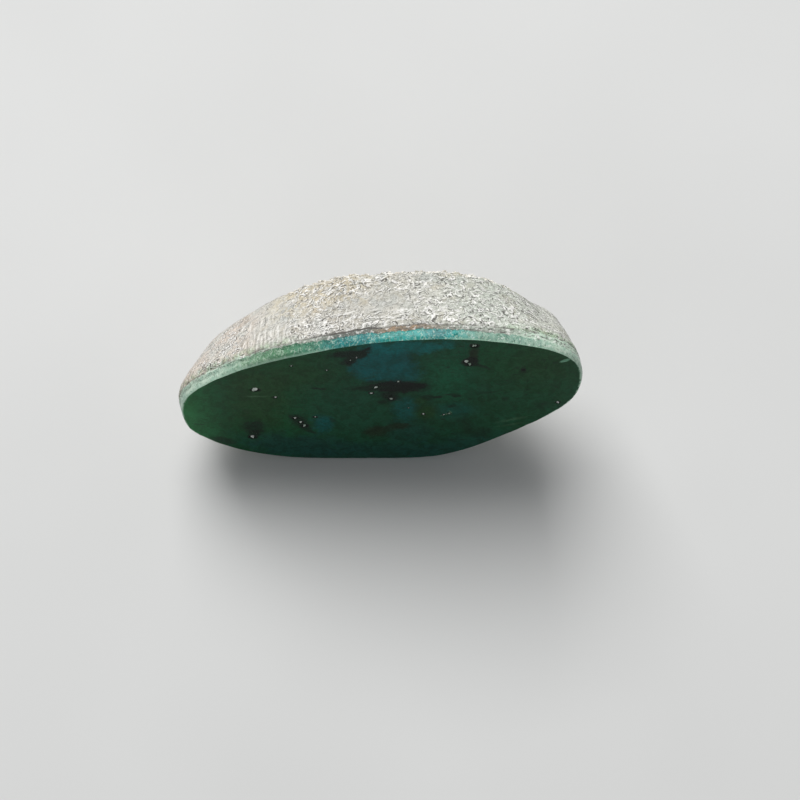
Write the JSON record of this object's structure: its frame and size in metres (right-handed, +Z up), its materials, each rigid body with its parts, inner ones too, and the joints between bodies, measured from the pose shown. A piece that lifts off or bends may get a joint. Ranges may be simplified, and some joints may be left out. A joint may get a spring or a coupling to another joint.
{
  "type": "turquoise nugget with one polished face on its host rock",
  "caption": "Natural turquoise nugget: a green turquoise layer on pale host rock, cut and polished flat on one face, with a ground belt and a rough broken back.",
  "frame": {"origin": "on the surface that the stone stands on, under the middle of its bounding box", "axes": "+X to the right along the stone's long side, the polished face looks towards -Y and leans back by 15 degrees, +Z up"},
  "size_m": [0.0304, 0.0114, 0.0208],
  "materials": {
    "turquoise_on_rock": "polished green face, matt pale host rock behind it"
  },
  "bodies": {
    "root": {"turquoise_nugget": "turquoise_on_rock"}
  },
  "joints": []
}
